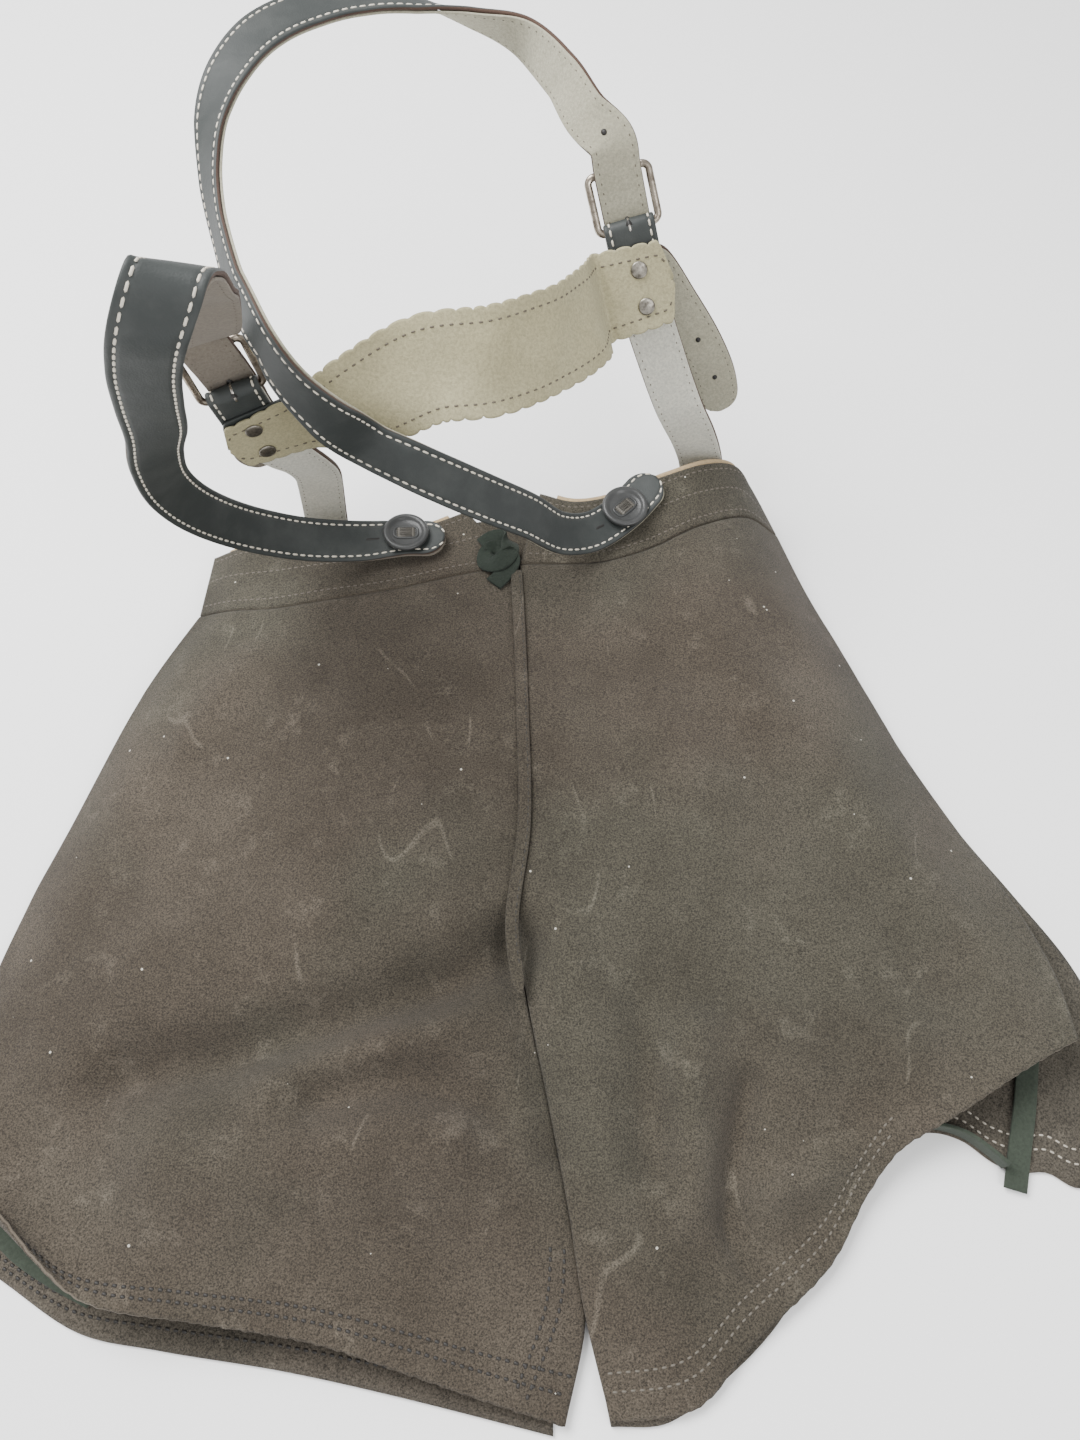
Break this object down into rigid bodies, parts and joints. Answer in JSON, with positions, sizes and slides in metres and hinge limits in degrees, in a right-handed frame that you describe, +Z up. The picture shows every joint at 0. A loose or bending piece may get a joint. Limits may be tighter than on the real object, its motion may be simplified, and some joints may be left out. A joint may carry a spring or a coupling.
{
  "type": "leather shorts with braces",
  "caption": "Child's suede leather shorts lying front face down, with H-shaped leather braces, heel-bar buckles, crossband, buttons and lace ties",
  "frame": {"origin": "centre of the footprint on the table the shorts lie on", "axes": "+X across the waist, +Y from the hems to the waist, +Z up from the table"},
  "size_m": [0.5082, 0.5818, 0.3007],
  "materials": {
    "buckle": "antiqued",
    "button": "satin, horn look",
    "cream": "flesh side",
    "facing": "undyed suede",
    "lace": "smooth lace",
    "lining": "flesh side",
    "rivet": "antiqued",
    "strap": "smooth",
    "suede": "napped suede",
    "thread": "waxed thread"
  },
  "bodies": {
    "garment": {"adjuster_lace_knot": "lace", "back_button_left_thread": "thread", "back_button_right_thread": "thread", "back_panel_left": "suede", "back_panel_right": "suede", "back_strap_left": "strap", "back_strap_lining_left": "lining", "back_strap_lining_right": "lining", "back_strap_right": "strap", "back_waistband_left": "suede", "back_waistband_right": "suede", "centre_back_strip": "suede", "crossband_face": "strap", "crossband_lining": "cream", "drop_front_flap": "suede", "front_button_left_thread": "thread", "front_button_right_thread": "thread", "front_panel_left": "suede", "front_panel_right": "suede", "front_strap_left": "strap", "front_strap_lining_left": "lining", "front_strap_lining_right": "lining", "front_strap_right": "strap", "front_waistband_left": "suede", "front_waistband_right": "suede", "hem_lace_left": "lace", "hem_lace_right_end": "lace", "hem_lace_right_run": "lace", "rivet_left_lower": "rivet", "rivet_left_upper": "rivet", "rivet_right_lower": "rivet", "rivet_right_upper": "rivet", "waist_facing_left": "facing", "waist_facing_right": "facing"},
    "buckle_frame_left": {"buckle_frame_left": "buckle"},
    "buckle_prong_left": {"buckle_prong_left": "buckle"},
    "back_button_left": {"back_button_left": "button"},
    "front_button_left": {"front_button_left": "button"},
    "flap_button_left": {"flap_button_left": "button"},
    "buckle_frame_right": {"buckle_frame_right": "buckle"},
    "buckle_prong_right": {"buckle_prong_right": "buckle"},
    "back_button_right": {"back_button_right": "button"},
    "front_button_right": {"front_button_right": "button"},
    "flap_button_right": {"flap_button_right": "button"}
  },
  "joints": [
    {"name": "buckle_tilt_left", "type": "hinge", "parent": "garment", "child": "buckle_frame_left", "pos_m": [-0.13393, 0.09514, 0.158], "axis": [-0.9408, -0.2858, -0.1821], "range_deg": [0, 10]},
    {"name": "prong_tilt_left", "type": "hinge", "parent": "buckle_frame_left", "child": "buckle_prong_left", "pos_m": [-0.13393, 0.09514, 0.158], "axis": [-0.9408, -0.2858, -0.1821], "range_deg": [0, 18]},
    {"name": "buckle_tilt_right", "type": "hinge", "parent": "garment", "child": "buckle_frame_right", "pos_m": [0.04007, 0.19414, 0.167], "axis": [-0.9656, -0.1328, -0.2237], "range_deg": [0, 10]},
    {"name": "prong_tilt_right", "type": "hinge", "parent": "buckle_frame_right", "child": "buckle_prong_right", "pos_m": [0.04007, 0.19414, 0.167], "axis": [-0.9656, -0.1328, -0.2237], "range_deg": [0, 18]},
    {"name": "back_button_left_turn", "type": "hinge", "parent": "garment", "child": "back_button_left", "pos_m": [-0.07249, 0.10915, 0.04843], "axis": [0.0551, 0, 0.9985], "range_deg": [-30, 30]},
    {"name": "back_button_right_turn", "type": "hinge", "parent": "garment", "child": "back_button_right", "pos_m": [0.04305, 0.12122, 0.05517], "axis": [0.0098, -0.1545, 0.9879], "range_deg": [-30, 30]},
    {"name": "front_button_left_turn", "type": "hinge", "parent": "garment", "child": "front_button_left", "pos_m": [-0.11304, 0.10259, 0.00265], "axis": [0, 0, -1], "range_deg": [-30, 30]},
    {"name": "front_button_right_turn", "type": "hinge", "parent": "garment", "child": "front_button_right", "pos_m": [0.07632, 0.1288, 0.00265], "axis": [0, 0, -1], "range_deg": [-30, 30]},
    {"name": "flap_button_left_turn", "type": "hinge", "parent": "garment", "child": "flap_button_left", "pos_m": [-0.05993, 0.07014, 0.00499], "axis": [0, 0, -1], "range_deg": [-30, 30]},
    {"name": "flap_button_right_turn", "type": "hinge", "parent": "garment", "child": "flap_button_right", "pos_m": [0.03607, 0.07014, 0.00499], "axis": [0, 0, -1], "range_deg": [-30, 30]}
  ]
}
